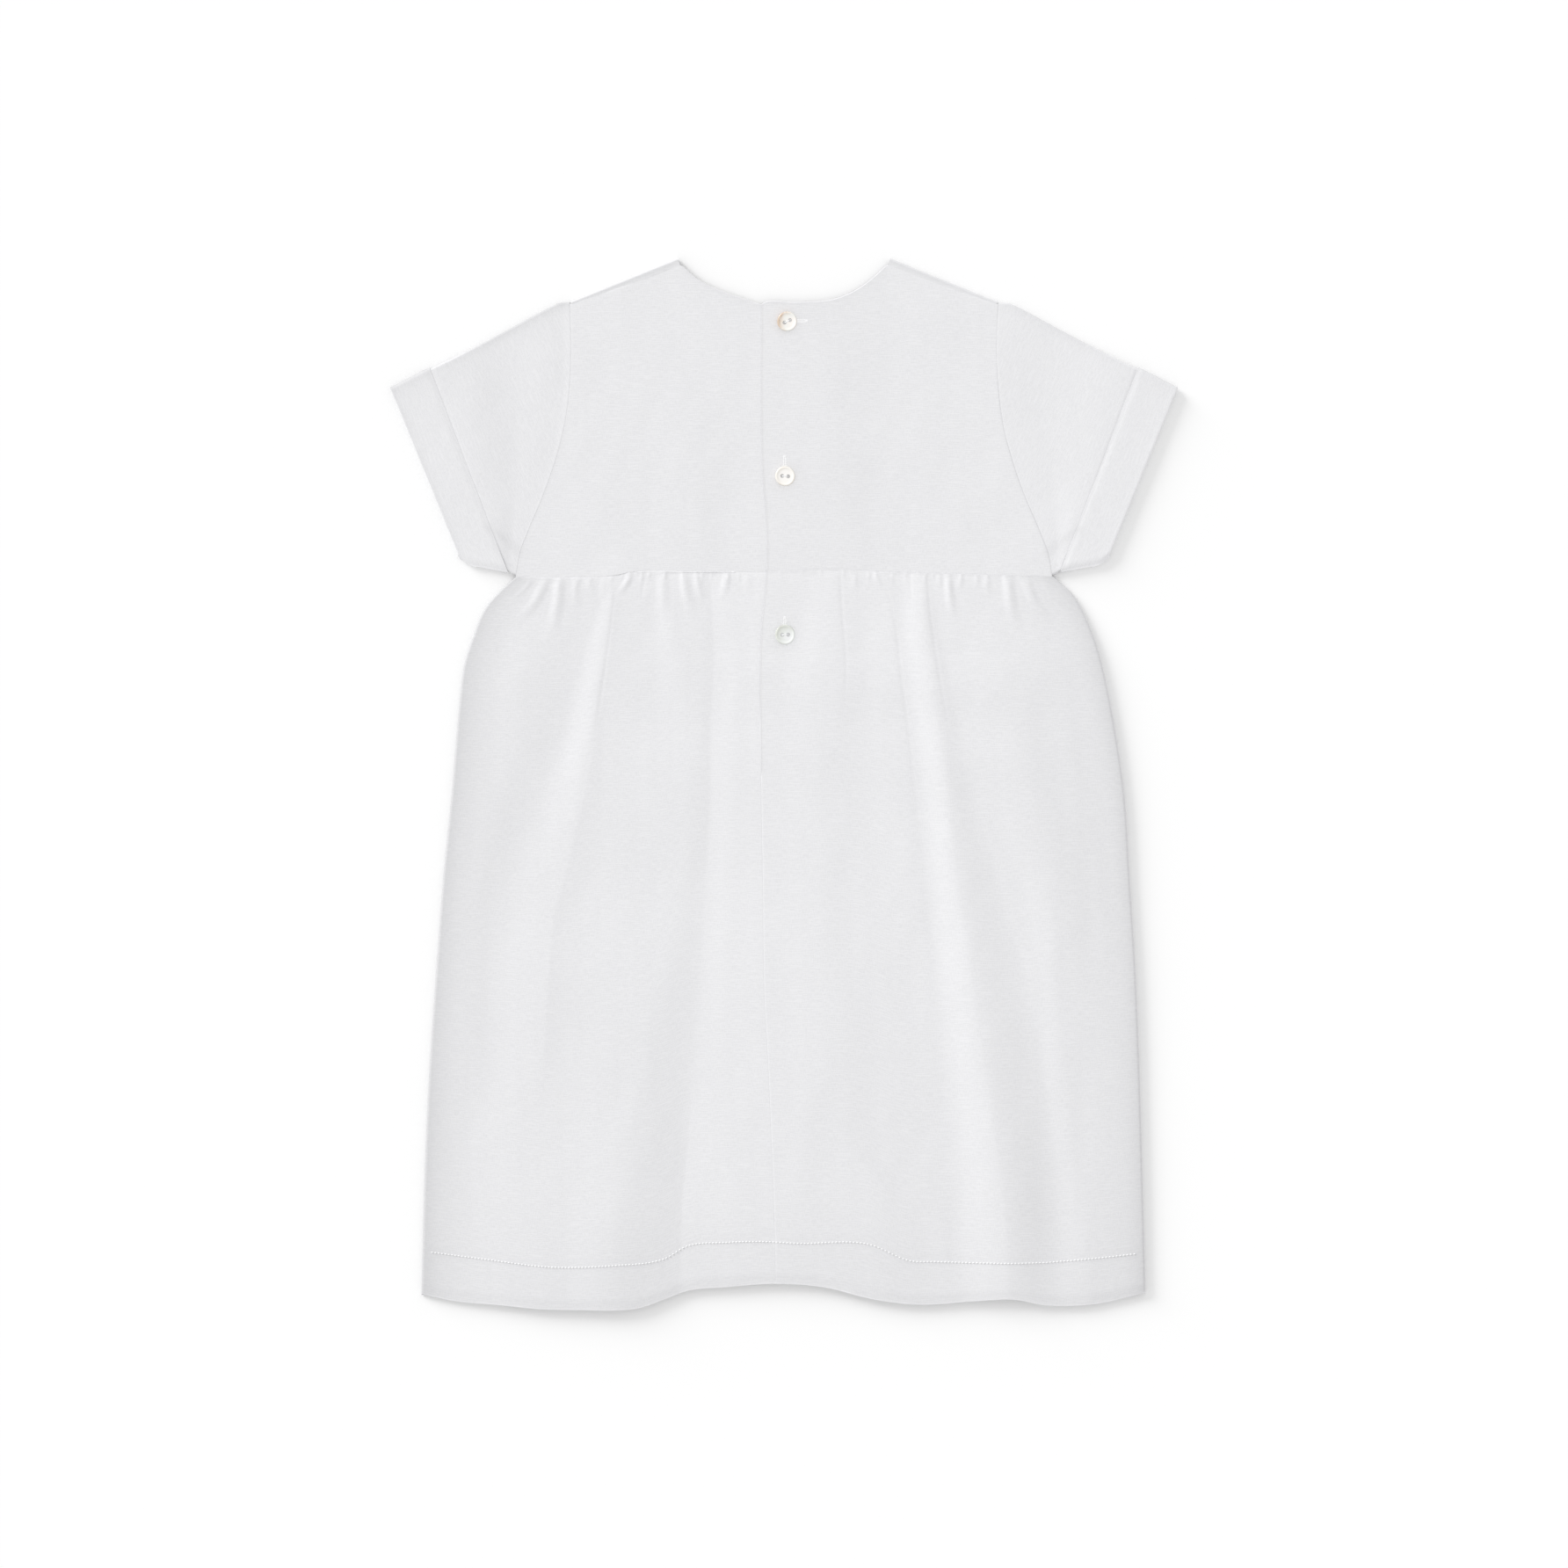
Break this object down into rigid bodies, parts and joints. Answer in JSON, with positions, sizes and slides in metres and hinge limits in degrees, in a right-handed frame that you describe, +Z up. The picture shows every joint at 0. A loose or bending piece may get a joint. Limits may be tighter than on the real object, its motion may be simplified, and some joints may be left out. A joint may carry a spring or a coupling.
{
  "type": "toddler dress laid flat",
  "caption": "Short-sleeved toddler dress with a gathered skirt, turned-up cuffs and a buttoned back, laid flat with its back up.",
  "frame": {"origin": "on the surface that the dress lies on, under the middle of its outline", "axes": "+X to the right across the back, +Y from the hem towards the neck, +Z up from the surface, out of the back of the dress"},
  "size_m": [0.3926, 0.5268, 0.0084],
  "materials": {
    "linen": "plain-weave white linen, matt, with a faint slub",
    "shell": "polished mother-of-pearl"
  },
  "bodies": {
    "root": {"bodice_front": "linen", "bodice_back_left": "linen", "bodice_back_right": "linen", "skirt_front": "linen", "skirt_back_left": "linen", "skirt_back_right": "linen", "sleeve_left": "linen", "sleeve_right": "linen", "cuff_left": "linen", "cuff_right": "linen", "button_top": "shell", "button_middle": "shell", "button_bottom": "shell"}
  },
  "joints": []
}
